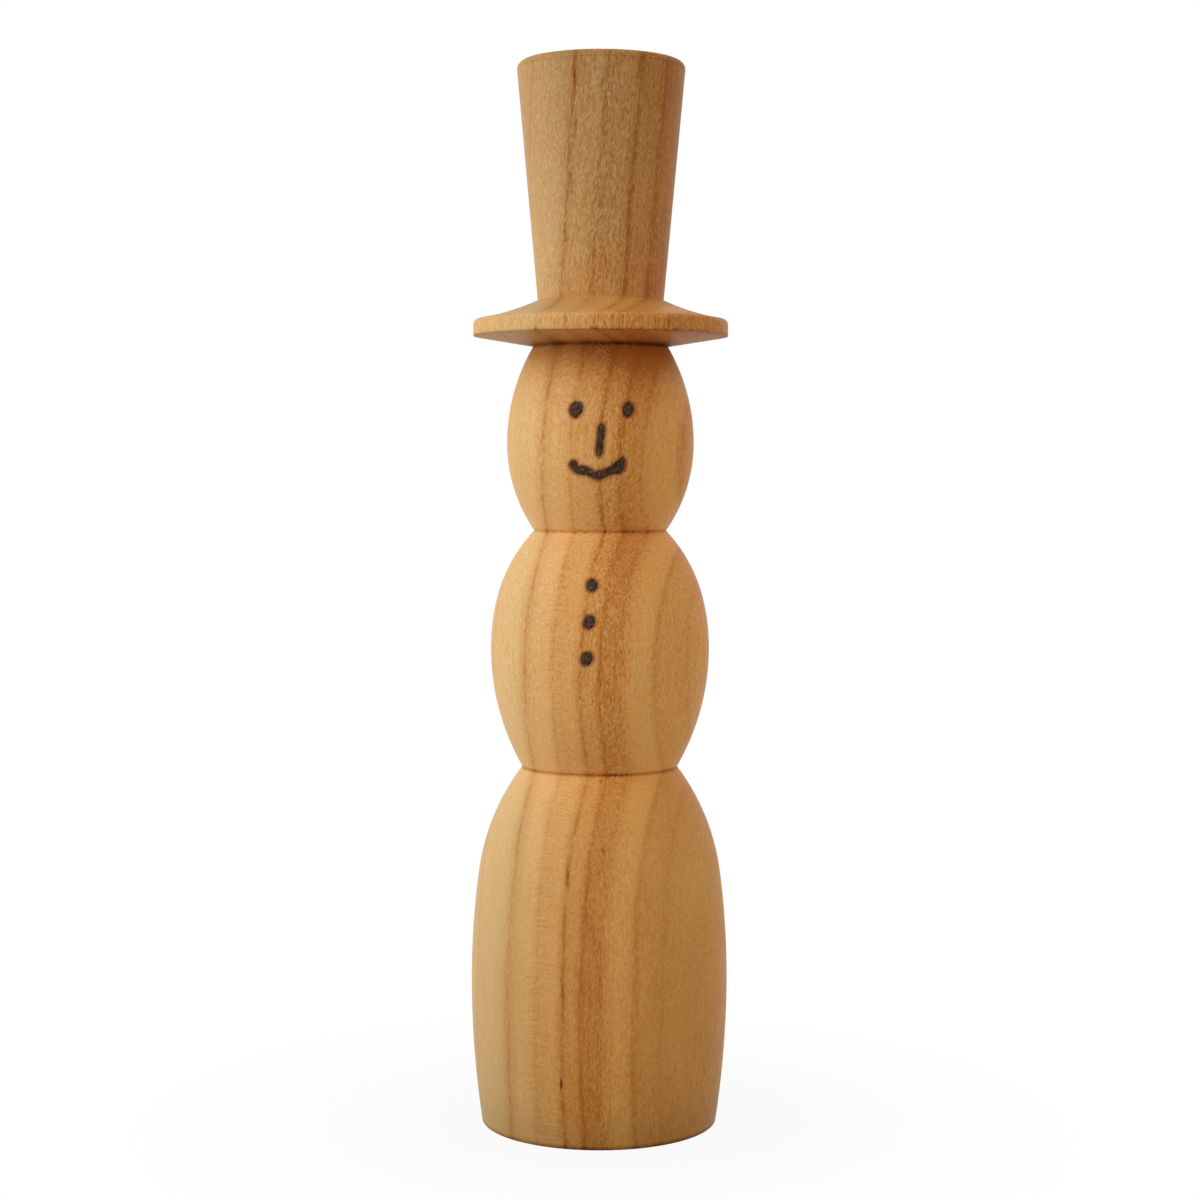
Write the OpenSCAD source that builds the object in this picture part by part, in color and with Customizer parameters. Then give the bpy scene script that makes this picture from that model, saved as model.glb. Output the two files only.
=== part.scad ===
// Turned wooden snowman with a top hat, and a face and buttons burnt into its front.
// The figure is one spindle turning: its three bulbs meet in sharp V grooves, and the hat is cut from the
// same blank. Each burnt mark is a thin layer of charred wood that fills the bottom of its burnt recess.
// Millimetres. +Z runs up the turning axis from the centre of the foot, and the face looks towards -Y.
// Left and right are the figure's own. A profile point is [radius, height].

/* [Base] */
// Diameter at the base's belly
base_d = 48.6; // [42:0.1:58]
// How far the foot draws in from the belly, on each side
foot_inset = 2.05; // [0.8:0.05:4]
// Rounding of the foot's edge
foot_edge_r = 0.4; // [0.2:0.05:1]
// Height of the base's belly above the foot
base_belly_z = 27.3; // [20:0.1:34]
// Height of the base, from the foot to the waist groove
base_h = 67.8; // [56:0.1:82]
// Radius of the base's long side curve above its belly
base_side_r = 154; // [110:1:200]
// Height of that side curve, from the belly to the shoulder
base_side_h = 20.5; // [14:0.1:25]

/* [Torso] */
// Diameter at the bottom of the waist groove
waist_d = 29.3; // [24:0.1:34]
// Diameter at the torso's belly
torso_d = 41.3; // [36:0.1:50]
// Height of the torso's belly above the waist groove
torso_belly_z = 22.5; // [18:0.1:27]
// Height of the torso, from the waist groove to the neck groove
torso_h = 44.7; // [37:0.1:54]
// Radius of the torso's side curve above its belly
torso_side_r = 38.7; // [31:0.1:48]
// Height of that side curve, from the belly to the shoulder
torso_side_h = 9.2; // [8:0.1:11]

/* [Head] */
// Diameter at the bottom of the neck groove
neck_d = 24.9; // [20:0.1:29]
// Diameter at the head's belly
head_d = 35.2; // [31:0.1:43]
// Height of the head's belly above the neck groove
head_belly_z = 16.4; // [13:0.1:20]
// Height of the head, from the neck groove to the brim
head_h = 34.6; // [28:0.1:42]
// Diameter where the head meets the underside of the brim
hat_seat_d = 25.3; // [20:0.1:29]

/* [Hat] */
// Diameter of the brim
brim_d = 47.9; // [40:0.1:57]
// Rise of the brim's conical underside, from the head to the rim
brim_under_rise = 1.9; // [0.5:0.1:4]
// Thickness of the brim at its rim
brim_rim_t = 3.1; // [2:0.1:5]
// Rounding of the rim's upper edge
brim_edge_r = 0.9; // [0.3:0.1:1.5]
// Rise of the brim's top, from the rim to the crown
brim_top_rise = 3.6; // [2:0.1:6]
// Radius of the hollow sweep of the brim's top
brim_sweep_r = 45; // [30:1:90]
// Diameter at the foot of the crown
crown_foot_d = 23.7; // [19:0.1:29]
// Diameter at the top of the crown
crown_top_d = 31.5; // [25:0.1:38]
// Height of the crown, from the brim to its flat top
crown_h = 44.3; // [35:0.1:55]
// Rounding of the crown's top edge
crown_edge_r = 1.4; // [0.5:0.1:3]

/* [Burning] */
// Depth of the burnt recess below the turned surface
burn_depth = 0.6; // [0.3:0.05:1.2]
// How far the top of the char lies below the turned surface
char_sink = 0.15; // [0.05:0.05:0.25]

/* [Face] */
// Distance between the middles of the eyes
eye_span = 9.5; // [7:0.1:12]
// How far the eyes are set over to the figure's left
eye_shift = 0.3; // [-1:0.1:1]
// Height of the eyes above the head's belly
eye_z = 5.9; // [4:0.1:8]
// Width of the right eye
right_eye_w = 2.4; // [1.5:0.1:3.5]
// Width of the left eye
left_eye_w = 2.0; // [1.5:0.1:3.5]
// How much taller than wide an eye is
eye_stretch = 0.6; // [0.2:0.1:1.5]
// Width of the nose stroke
nose_w = 1.4; // [0.8:0.1:2]
// Length of the nose stroke
nose_h = 5.9; // [4:0.1:7]
// Height of the middle of the nose above the head's belly
nose_z = 0.4; // [-0.6:0.1:1.4]
// Width of the mouth, between the middles of its corners
mouth_w = 9; // [7:0.1:12]
// Rise of the mouth from its lowest point to its corners
mouth_rise = 2.4; // [1:0.1:3]
// Depth of the mouth's lowest point below the head's belly
mouth_drop = 6.4; // [6:0.1:8]
// Width of the mouth stroke
mouth_pen_w = 1.4; // [0.8:0.1:1.7]
// Width of the dabs at the mouth's corners
mouth_corner_w = 1.9; // [1.6:0.1:2.6]

/* [Buttons] */
// Width of a button
button_w = 2.05; // [1.2:0.05:3]
// How much taller than wide a button is
button_stretch = 0.45; // [0.1:0.05:1.2]
// Distance between buttons, measured up the figure
button_pitch = 6.6; // [5:0.1:8]
// Height of the top button above the torso's belly
top_button_z = 12.6; // [8:0.1:15]
// How far the top button is set over to the figure's right
top_button_shift = 1.45; // [0:0.05:3]
// How much further over each lower button is
button_drift = 0.46; // [0:0.02:1]

/* [Hidden] */
$fn = 240;

WOOD = [0.78, 0.57, 0.34];
CHAR = [0.20, 0.16, 0.13];

// Lean of the hand-burnt dabs and of the nose, in degrees, tops towards the figure's left
RIGHT_EYE_LEAN = 16;
LEFT_EYE_LEAN = 7;
NOSE_LEAN = 3;
BUTTON_LEAN = 25;

// How far a bulb's arc runs on inside its neighbour, so that the two cross cleanly in the groove
TUCK = 1;

// Heights up the turning axis
waist_z = base_h;
torso_mid_z = waist_z + torso_belly_z;
neck_z = waist_z + torso_h;
head_mid_z = neck_z + head_belly_z;
seat_z = neck_z + head_h;
rim_z = seat_z + brim_under_rise;
rim_top_z = rim_z + brim_rim_t;
crown_z = rim_top_z + brim_top_rise;
top_z = crown_z + crown_h;

// Anything wider than the figure, for cutting it into slabs
reach = base_d + brim_d + torso_d;

// Strip of profile from z_from to z_to, bounded by an arc, and filled to the axis where the arc is too small
// to reach it
module arc_slab(centre, arc_r, z_from, z_to) {
    intersection() {
        translate(centre) circle(arc_r);
        translate([0, z_from]) square([reach, z_to - z_from]);
    }
    if (centre[0] > 0) translate([0, z_from]) square([centre[0], z_to - z_from]);
}

// Half a bulb in one arc, upright at the belly and running in to end_r at end_z, above or below it.
// The arc runs on inside its neighbour. A positive inset gives the same half bulb with that much wood taken
// off it all over.
module half_bulb(belly_r, belly_z, end_r, end_z, inset = 0) {
    drop = belly_r - end_r;
    height = abs(end_z - belly_z);
    arc_r = (height * height + drop * drop) / (2 * drop);
    z_from = end_z < belly_z ? end_z - TUCK : belly_z;
    z_to = end_z < belly_z ? belly_z : end_z + TUCK;
    arc_slab([belly_r - arc_r, belly_z], arc_r - inset, z_from, z_to);
}

// Upper half of a bulb in two arcs: a side curve, upright at the belly, that runs smoothly into a rounder
// shoulder. The shoulder's arc is the one that is tangent to the side curve and passes through the groove.
module shouldered_half(belly_r, belly_z, side_r, side_h, end_r, end_z, inset = 0) {
    side_c = [belly_r - side_r, belly_z];
    outward = [sqrt(side_r * side_r - side_h * side_h), side_h] / side_r;
    shoulder = side_c + side_r * outward;
    run = shoulder - [end_r, end_z];
    shoulder_r = (run * run) / (2 * (run * outward));
    shoulder_c = shoulder - shoulder_r * outward;
    split_z = shoulder[1] - inset * outward[1];
    arc_slab(side_c, side_r - inset, belly_z, split_z);
    arc_slab(shoulder_c, shoulder_r - inset, split_z, end_z + TUCK);
}

// Profile of the base, from the flat foot to the waist groove. The foot's edge is a small arc that is
// tangent to the side above it.
module base_profile() {
    side_r = (base_belly_z * base_belly_z + foot_inset * foot_inset) / (2 * foot_inset);
    side_c = [base_d / 2 - side_r, base_belly_z];
    lift = base_belly_z - foot_edge_r;
    edge_c = [side_c[0] + sqrt(pow(side_r - foot_edge_r, 2) - lift * lift), foot_edge_r];
    edge_z = base_belly_z - side_r * lift / (side_r - foot_edge_r);
    arc_slab(edge_c, foot_edge_r, 0, edge_z);
    arc_slab(side_c, side_r, edge_z, base_belly_z);
    shouldered_half(base_d / 2, base_belly_z, base_side_r, base_side_h, waist_d / 2, waist_z);
}

// Profile of the torso, from the waist groove to the neck groove
module torso_profile(inset = 0) {
    half_bulb(torso_d / 2, torso_mid_z, waist_d / 2, waist_z, inset);
    shouldered_half(torso_d / 2, torso_mid_z, torso_side_r, torso_side_h, neck_d / 2, neck_z, inset);
}

// Profile of the head, from the neck groove to the brim
module head_profile(inset = 0) {
    half_bulb(head_d / 2, head_mid_z, neck_d / 2, neck_z, inset);
    half_bulb(head_d / 2, head_mid_z, hat_seat_d / 2, seat_z, inset);
}

// Profile of the brim: conical underside, whose tip lies inside the head, upright rim with a rounded upper
// edge, and a top that sweeps up to the crown in one hollow arc
module brim_profile() {
    rim = [brim_d / 2 - brim_edge_r, rim_top_z];
    foot = [crown_foot_d / 2, crown_z];
    chord = foot - rim;
    upward = [chord[1], -chord[0]] / norm(chord);
    sweep_c = (rim + foot) / 2 + sqrt(brim_sweep_r * brim_sweep_r - chord * chord / 4) * upward;
    under_slope = brim_under_rise / (brim_d / 2 - hat_seat_d / 2);
    tip = [0, seat_z - under_slope * hat_seat_d / 2];
    difference() {
        polygon([tip, [brim_d / 2, rim_z], [brim_d / 2, rim_top_z], rim, foot, [0, crown_z]]);
        translate(sweep_c) circle(brim_sweep_r);
        difference() {
            translate([rim[0], rim_top_z - brim_edge_r]) square(reach);
            translate([rim[0], rim_top_z - brim_edge_r]) circle(brim_edge_r);
            square([reach, rim_top_z - brim_edge_r]);
        }
    }
}

// Profile of the crown: a straight cone that widens upwards, with a rounded top edge
module crown_profile() {
    edge_z = top_z - crown_edge_r;
    polygon([[0, crown_z], [crown_foot_d / 2, crown_z], [crown_top_d / 2, edge_z], [0, edge_z]]);
    arc_slab([crown_top_d / 2 - crown_edge_r, edge_z], crown_edge_r, edge_z, top_z);
}

// Layer of the torso's or head's wood that lies between two depths below the turned surface
module torso_layer(from, to) {
    rotate_extrude() difference() {
        torso_profile(from);
        torso_profile(to);
    }
}

module head_layer(from, to) {
    rotate_extrude() difference() {
        head_profile(from);
        head_profile(to);
    }
}

// Carries a flat outline, drawn as seen from the front, through the front of the figure.
// Its heights count from mid_z.
module from_front(mid_z, depth) {
    translate([0, 0, mid_z]) rotate([90, 0, 0]) linear_extrude(depth) children();
}

// One press of the hot pen: an upright oval with round ends
module dab(width, stretch, lean) {
    rotate(-lean) {
        square([width, stretch], center = true);
        for (side = [-1, 1]) translate([0, side * stretch / 2]) circle(d = width);
    }
}

// One drawn line of the hot pen through a list of points, with mitred bends and square ends
module pen_line(points, width) {
    last = len(points) - 1;
    function step(i) = (points[i + 1] - points[i]) / norm(points[i + 1] - points[i]);
    function square_to(way) = [-way[1], way[0]];
    function side(i) = square_to(step(min(i, last - 1))) + square_to(step(max(i - 1, 0)));
    function mitre(i) = side(i) * width / (side(i) * side(i));
    polygon([for (i = [0 : last]) points[i] - mitre(i), for (i = [last : -1 : 0]) points[i] + mitre(i)]);
}

// Outlines of the burnt marks, with heights above the belly that carries them
module right_eye_outline() {
    translate([eye_shift - eye_span / 2, eye_z]) dab(right_eye_w, eye_stretch, RIGHT_EYE_LEAN);
}

module left_eye_outline() {
    translate([eye_shift + eye_span / 2, eye_z]) dab(left_eye_w, eye_stretch, LEFT_EYE_LEAN);
}

module nose_outline() {
    translate([0, nose_z]) dab(nose_w, nose_h - nose_w, NOSE_LEAN);
}

// The smile is drawn by hand in shares of its width and rise: a turned-up corner, a wavering bottom with
// its lowest point a little to the figure's right, and a higher corner on the figure's left
module mouth_outline() {
    shares = [[-0.52, 0.88], [-0.41, 0.38], [-0.25, 0.36], [-0.02, 0],
              [0.21, 0.34], [0.39, 0.6], [0.47, 1.12]];
    points = [for (share = shares) [share[0] * mouth_w, share[1] * mouth_rise - mouth_drop]];
    pen_line(points, mouth_pen_w);
    for (corner = [points[0], points[len(points) - 1]]) translate(corner) circle(d = mouth_corner_w);
}

module button_outline(i) {
    translate([-top_button_shift - i * button_drift, top_button_z - i * button_pitch])
        dab(button_w, button_stretch, BUTTON_LEAN);
}

module face_outlines() {
    right_eye_outline();
    left_eye_outline();
    nose_outline();
    mouth_outline();
}

module button_outlines() {
    for (i = [0 : 2]) button_outline(i);
}

// Charred wood at the bottom of a recess in the head or the torso
module head_char() {
    color(CHAR) intersection() {
        from_front(head_mid_z, head_d) children();
        head_layer(char_sink, burn_depth);
    }
}

module torso_char() {
    color(CHAR) intersection() {
        from_front(torso_mid_z, torso_d) children();
        torso_layer(char_sink, burn_depth);
    }
}

// The whole turning, with the burnt recesses sunk into its front
module turned_figure() {
    color(WOOD) difference() {
        rotate_extrude() {
            base_profile();
            torso_profile();
            head_profile();
            brim_profile();
            crown_profile();
        }
        intersection() {
            from_front(head_mid_z, head_d) face_outlines();
            head_layer(-burn_depth, burn_depth);
        }
        intersection() {
            from_front(torso_mid_z, torso_d) button_outlines();
            torso_layer(-burn_depth, burn_depth);
        }
    }
}

module right_eye() { head_char() right_eye_outline(); }
module left_eye() { head_char() left_eye_outline(); }
module nose() { head_char() nose_outline(); }
module mouth() { head_char() mouth_outline(); }
module top_button() { torso_char() button_outline(0); }
module middle_button() { torso_char() button_outline(1); }
module bottom_button() { torso_char() button_outline(2); }

turned_figure();
right_eye();
left_eye();
nose();
mouth();
top_button();
middle_button();
bottom_button();
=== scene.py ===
import math

import bpy
import numpy as np
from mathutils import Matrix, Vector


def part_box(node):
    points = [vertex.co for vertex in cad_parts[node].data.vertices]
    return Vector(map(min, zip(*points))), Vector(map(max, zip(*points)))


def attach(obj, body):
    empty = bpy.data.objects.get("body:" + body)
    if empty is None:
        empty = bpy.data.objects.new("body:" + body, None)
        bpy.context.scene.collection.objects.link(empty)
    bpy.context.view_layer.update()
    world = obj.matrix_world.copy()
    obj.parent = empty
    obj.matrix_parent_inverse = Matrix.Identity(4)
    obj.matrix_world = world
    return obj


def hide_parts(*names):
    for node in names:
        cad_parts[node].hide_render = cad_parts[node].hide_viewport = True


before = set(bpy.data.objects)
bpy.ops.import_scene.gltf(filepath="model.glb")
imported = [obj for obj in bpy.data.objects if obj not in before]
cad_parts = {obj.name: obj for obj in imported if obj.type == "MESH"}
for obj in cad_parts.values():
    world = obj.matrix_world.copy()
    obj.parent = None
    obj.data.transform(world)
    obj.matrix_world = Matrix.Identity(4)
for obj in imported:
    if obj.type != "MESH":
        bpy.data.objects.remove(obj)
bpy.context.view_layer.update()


# The turned figure
# One piece of close-grained fruitwood, turned between centres from a single blank and rubbed with oil.
# Base, torso and head are three bulbs that meet in V grooves. The hat is cut from the same wood, so the
# growth rings run through from the foot to the crown.
# Sizes are in millimetres, with heights up the turning axis from the foot.
MM = 0.001
figure_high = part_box("turned_figure")[1]
TOP_Z = figure_high.z / MM
BASE_R = figure_high.x / MM
FOOT_INSET = 2.05
FOOT_EDGE_R = 0.4
BASE_BELLY_Z = 27.3
BASE_SIDE_R = 154.0
BASE_SIDE_H = 20.5
WAIST_R = 14.65
WAIST_Z = 67.8
TORSO_R = 20.65
TORSO_BELLY_Z = WAIST_Z + 22.5
TORSO_SIDE_R = 38.7
TORSO_SIDE_H = 9.2
NECK_R = 12.45
NECK_Z = WAIST_Z + 44.7
HEAD_R = 17.6
HEAD_BELLY_Z = NECK_Z + 16.4
SEAT_R = 12.65
SEAT_Z = NECK_Z + 34.6
BRIM_R = 23.95
RIM_Z = SEAT_Z + 1.9
RIM_TOP_Z = RIM_Z + 3.1
BRIM_EDGE_R = 0.9
BRIM_SWEEP_R = 45.0
CROWN_FOOT_R = 11.85
CROWN_Z = RIM_TOP_Z + 3.6
CROWN_TOP_R = 15.75
CROWN_EDGE_R = 1.4
# An allowance for rounding, where a point lies on a limit
HAIR = 1e-9


def belly_arc(z, belly_r, belly_z, end_r, end_z):
    """Radius at height z of half a bulb: one arc, upright at the belly, through end_r at end_z."""
    drop = belly_r - end_r
    rise = end_z - belly_z
    arc_r = (rise * rise + drop * drop) / (2 * drop)
    return belly_r - arc_r + np.sqrt(np.maximum(arc_r**2 - (z - belly_z) ** 2, 0))


def shouldered_arc(z, belly_r, belly_z, side_r, side_h, end_r, end_z):
    """Radius at height z of the upper half of a bulb: a side arc of radius side_r, upright at the belly, up
    to side_h, and then the arc that is tangent to it there and passes through end_r at end_z."""
    out_r = math.sqrt(side_r**2 - side_h**2) / side_r
    out_z = side_h / side_r
    shoulder_r = belly_r - side_r + side_r * out_r
    shoulder_z = belly_z + side_h
    run_r = shoulder_r - end_r
    run_z = shoulder_z - end_z
    round_r = (run_r**2 + run_z**2) / (2 * (run_r * out_r + run_z * out_z))
    centre_r = shoulder_r - round_r * out_r
    centre_z = shoulder_z - round_r * out_z
    side = belly_r - side_r + np.sqrt(np.maximum(side_r**2 - (z - belly_z) ** 2, 0))
    shoulder = centre_r + np.sqrt(np.maximum(round_r**2 - (z - centre_z) ** 2, 0))
    return np.where(z < shoulder_z, side, shoulder)


def turned_radius(z):
    """Radius of base, torso and head at height z: each bulb is one arc up to its belly and one or two above
    it, and the first arc whose end lies above z gives the radius."""
    base = (BASE_R, BASE_BELLY_Z)
    torso = (TORSO_R, TORSO_BELLY_Z)
    head = (HEAD_R, HEAD_BELLY_Z)
    arcs = [
        (z < BASE_BELLY_Z, belly_arc(z, *base, BASE_R - FOOT_INSET, 0.0)),
        (z < WAIST_Z, shouldered_arc(z, *base, BASE_SIDE_R, BASE_SIDE_H, WAIST_R, WAIST_Z)),
        (z < TORSO_BELLY_Z, belly_arc(z, *torso, WAIST_R, WAIST_Z)),
        (z < NECK_Z, shouldered_arc(z, *torso, TORSO_SIDE_R, TORSO_SIDE_H, NECK_R, NECK_Z)),
        (z < HEAD_BELLY_Z, belly_arc(z, *head, NECK_R, NECK_Z)),
    ]
    above = belly_arc(z, *head, SEAT_R, SEAT_Z)
    return np.select([test for test, radius in arcs], [radius for test, radius in arcs], above)


def arc_run(start, end, arc_r, count):
    """Points from start to end, start left out, on an arc of radius arc_r that bellies to the right of the
    way it runs, or to the left where arc_r is negative: the middle of the chord, moved square to it."""
    start = np.array(start)
    end = np.array(end)
    chord = end - start
    length = np.hypot(*chord)
    left = np.array([-chord[1], chord[0]]) / length
    centre = (start + end) / 2 + left * np.sign(arc_r) * math.sqrt(max(arc_r**2 - length**2 / 4, 0))
    turn_from = np.arctan2(*(start - centre)[::-1])
    turn_by = 2 * math.asin(min(length / 2 / abs(arc_r), 1)) * np.sign(arc_r)
    turn = turn_from + turn_by * np.arange(1, count + 1) / count
    return centre + abs(arc_r) * np.column_stack([np.cos(turn), np.sin(turn)])


def straight_run(start, end, count):
    """Points from start to end in even steps, start left out."""
    share = np.arange(1, count + 1)[:, None] / count
    return np.array(start) + share * (np.array(end) - np.array(start))


def bulb_run(*stops):
    """Points up the side of a bulb, on heights that run evenly between stops of (height, rows so far). Radii
    are taken a hair lower, so that the last row is still on this bulb."""
    stop_z, stop_row = zip(*stops)
    z = np.interp(np.arange(1, stop_row[-1] + 1), stop_row, stop_z)
    return np.column_stack([turned_radius(z - HAIR), z])


# The foot's edge is a small round that is tangent to the flat foot and to the base's lower arc
foot_side_r = (BASE_BELLY_Z**2 + FOOT_INSET**2) / (2 * FOOT_INSET)
foot_lift = BASE_BELLY_Z - FOOT_EDGE_R
foot_flat_r = BASE_R - foot_side_r + math.sqrt((foot_side_r - FOOT_EDGE_R) ** 2 - foot_lift**2)
foot_edge_z = BASE_BELLY_Z - foot_side_r * foot_lift / (foot_side_r - FOOT_EDGE_R)
foot_edge = (float(turned_radius(np.array(foot_edge_z))), foot_edge_z)
rim_edge_z = RIM_TOP_Z - BRIM_EDGE_R
rim_edge_r = BRIM_R - BRIM_EDGE_R
crown_edge_z = TOP_Z - CROWN_EDGE_R
crown_flat_r = CROWN_TOP_R - CROWN_EDGE_R

# The profile from the middle of the foot to the middle of the crown, run by run, and whether a run ends in a
# crease that the chisel leaves sharp. The rows close up over the buttons and the face, which are sunk in.
BUTTONS_LOW_Z = 87.0
BUTTONS_HIGH_Z = 105.0
FACE_LOW_Z = 120.5
FACE_HIGH_Z = 137.5
profile_runs = [
    (straight_run((0.0, 0.0), (foot_flat_r, 0.0), 8), False),
    (arc_run((foot_flat_r, 0.0), foot_edge, FOOT_EDGE_R, 6), False),
    (bulb_run((foot_edge_z, 0), (WAIST_Z, 68)), True),
    (bulb_run((WAIST_Z, 0), (BUTTONS_LOW_Z, 22), (BUTTONS_HIGH_Z, 132), (NECK_Z, 144)), True),
    (bulb_run((NECK_Z, 0), (FACE_LOW_Z, 12), (FACE_HIGH_Z, 118), (SEAT_Z, 133)), True),
    (straight_run((SEAT_R, SEAT_Z), (BRIM_R, RIM_Z), 10), True),
    (straight_run((BRIM_R, RIM_Z), (BRIM_R, rim_edge_z), 4), False),
    (arc_run((BRIM_R, rim_edge_z), (rim_edge_r, RIM_TOP_Z), BRIM_EDGE_R, 8), True),
    (arc_run((rim_edge_r, RIM_TOP_Z), (CROWN_FOOT_R, CROWN_Z), -BRIM_SWEEP_R, 16), True),
    (straight_run((CROWN_FOOT_R, CROWN_Z), (CROWN_TOP_R, crown_edge_z), 38), True),
    (arc_run((CROWN_TOP_R, crown_edge_z), (crown_flat_r, TOP_Z), CROWN_EDGE_R, 10), False),
    (straight_run((crown_flat_r, TOP_Z), (0.0, TOP_Z), 8), False),
]
runs, creased = zip(*profile_runs)
profile = np.vstack(runs)[:-1]
run_ends = np.cumsum([len(run) for run in runs]) - 1
crease_rows = run_ends[np.array(creased)]

# The columns close up over the front in the same way
FRONT_HALF = math.radians(24)
FRONT_COLUMNS = 97
BACK_COLUMNS = 103
front_angles = np.linspace(-FRONT_HALF, FRONT_HALF, FRONT_COLUMNS)
back_angles = np.linspace(FRONT_HALF, 2 * math.pi - FRONT_HALF, BACK_COLUMNS + 2)[1:-1]
angles = np.concatenate([front_angles, back_angles])


# The hot pen's marks
# The face and the buttons are burnt into the oiled wood with a hot pen, pressed or drawn by hand. A mark is
# a shallow recess in the figure with charred wood in it, and the wood round it is scorched red-brown.
# A stroke is a list of (x, height, half width) as seen from the front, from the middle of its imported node,
# and is round at both ends.
FACE_STROKES = {
    "right_eye": [(0.22, 0.38, 1.06), (0.02, -0.05, 1.2), (-0.12, -0.55, 0.95), (-0.15, -1.0, 0.48)],
    "left_eye": [
        (0.1, 1.15, 0.3), (0.08, 0.55, 0.8), (0.03, 0.0, 1.0), (-0.08, -0.6, 0.8), (-0.15, -1.12, 0.32),
    ],
    "nose": [
        (0.18, 2.27, 0.62), (0.2, 1.5, 0.68), (0.05, 0.2, 0.62), (-0.12, -0.9, 0.68), (-0.2, -2.1, 0.66),
        (-0.18, -2.4, 0.56),
    ],
    "mouth": [
        (-4.6, 0.85, 0.8), (-4.05, -0.1, 0.6), (-3.07, -0.17, 0.88), (-2.1, -0.4, 0.78), (-0.8, -1.08, 0.62),
        (0.0, -1.08, 0.8), (1.15, -0.63, 0.76), (2.4, -0.17, 0.76), (3.5, 0.4, 1.08), (4.15, 1.3, 0.66),
        (4.33, 1.95, 0.32),
    ],
}
# A button is one press of the pen: (width, height, lean to the right in degrees)
BUTTONS = {
    "top_button": (2.05, 2.25, 10),
    "middle_button": (2.02, 2.55, 30),
    "bottom_button": (2.1, 2.6, 22),
}
# The recess: its depth, the width of its sloping wall, and how far outside the stroke's edge that starts
BURN_DEPTH = 0.35
BURN_WALL = 0.3
BURN_LIP = 0.08
# How far the scorch reaches, and the distance that stands for all points away from the marks
SCORCH_REACH = 0.37
FAR_FROM_MARKS = 9.0
STROKE_CIRCLES = 120


def dab(width, tall, lean):
    """Stroke of one press of the pen: an oval of that width and height, its top leaning to the right."""
    reach = (tall - width) / 2
    side = reach * math.sin(math.radians(lean))
    up = reach * math.cos(math.radians(lean))
    return [(-side, -up, width / 2), (side, up, width / 2)]


def in_place(name, stroke):
    """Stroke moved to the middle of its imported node, seen from the front, in millimetres."""
    low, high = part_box(name)
    middle = (low + high) / 2 / MM
    return np.array(stroke) + (middle.x, middle.z, 0)


drawn_strokes = FACE_STROKES | {name: dab(*press) for name, press in BUTTONS.items()}
strokes = {name: in_place(name, stroke) for name, stroke in drawn_strokes.items()}


def smooth_curve(points, count):
    """Even run of points on the Catmull-Rom curve through points: in each span, from b to c, the cubic that
    leaves and arrives along the chords between the neighbours on either side, a to c and b to d."""
    lead_in = 2 * points[0] - points[1]
    lead_out = 2 * points[-1] - points[-2]
    padded = np.vstack([lead_in, points, lead_out])
    way = np.linspace(0, len(points) - 1, count)
    span = np.minimum(way.astype(int), len(points) - 2)
    share = (way - span)[:, None]
    a, b, c, d = (padded[span + step] for step in range(4))
    cubic = 2 * b + (c - a) * share + (2 * a - 5 * b + 4 * c - d) * share**2
    return (cubic + (3 * b - a - 3 * c + d) * share**3) / 2


def ease(value):
    """Smooth step from 0 to 1 as value goes from 0 to 1."""
    value = np.clip(value, 0, 1)
    return value * value * (3 - 2 * value)


def stroke_distance(stroke, x, z):
    """Distance of the points from a stroke's edge, negative inside: the least, over circles set close
    together along the stroke, of the distance to the circle's middle less its radius."""
    circles = smooth_curve(stroke, STROKE_CIRCLES)
    apart = np.hypot(x[..., None] - circles[:, 0], z[..., None] - circles[:, 1])
    return (apart - circles[:, 2]).min(axis=-1)


def skin(name, rings, first_tip, last_tip):
    """Closed mesh over rings of points, each joined to the next by quads and to itself end to start, with a
    fan of triangles from each end ring to its tip. Millimetres become metres."""
    rows, columns = rings.shape[:2]
    points = np.vstack([first_tip[None], rings.reshape(-1, 3), last_tip[None]]) * MM
    column = np.arange(columns)
    beside = (column + 1) % columns
    row = 1 + columns * np.arange(rows - 1)[:, None]
    quads = np.stack([row + column, row + beside, row + columns + beside, row + columns + column], axis=-1)
    last_row = 1 + columns * (rows - 1)
    first_fan = np.column_stack([np.zeros(columns, int), 1 + beside, 1 + column])
    last_fan = np.column_stack([last_row + column, last_row + beside, np.full(columns, len(points) - 1)])
    corners = np.concatenate([first_fan.ravel(), last_fan.ravel(), quads.ravel()])
    corner_counts = np.concatenate([np.full(2 * columns, 3), np.full(quads.size // 4, 4)])
    mesh = bpy.data.meshes.new(name)
    mesh.vertices.add(len(points))
    mesh.vertices.foreach_set("co", points.astype(np.float32).ravel())
    mesh.loops.add(len(corners))
    mesh.loops.foreach_set("vertex_index", corners.astype(np.int32))
    mesh.polygons.add(len(corner_counts))
    mesh.polygons.foreach_set("loop_start", (np.cumsum(corner_counts) - corner_counts).astype(np.int32))
    mesh.polygons.foreach_set("use_smooth", np.ones(len(corner_counts), bool))
    mesh.update(calc_edges=True)
    mesh.validate()
    piece = bpy.data.objects.new(name, mesh)
    bpy.context.scene.collection.objects.link(piece)
    return piece


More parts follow.
